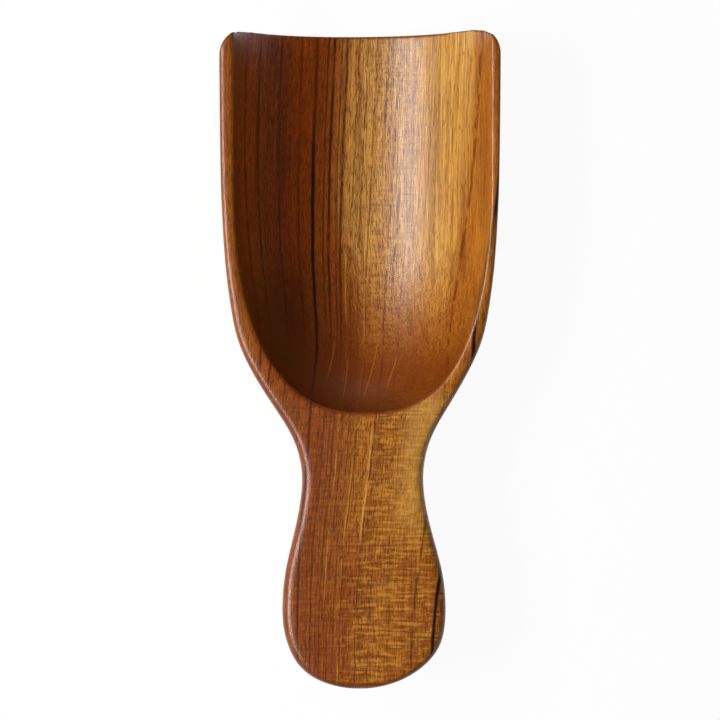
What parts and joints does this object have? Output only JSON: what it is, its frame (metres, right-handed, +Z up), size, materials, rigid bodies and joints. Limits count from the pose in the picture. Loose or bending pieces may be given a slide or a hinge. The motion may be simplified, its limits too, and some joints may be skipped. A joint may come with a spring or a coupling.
{
  "type": "kitchen scoop",
  "caption": "Wooden kitchen scoop carved in one piece, with an open mouth, a deep rounded bowl and a short flared handle.",
  "frame": {"origin": "under the middle of the scoop's length and width, on the surface that it stands on", "axes": "+Z up, +Y along the scoop towards its open mouth, +X across it to the right seen from above with the mouth at the top"},
  "size_m": [0.0978, 0.2304, 0.042],
  "materials": {
    "teak": "oiled"
  },
  "bodies": {
    "root": {"scoop_body": "teak"}
  },
  "joints": []
}
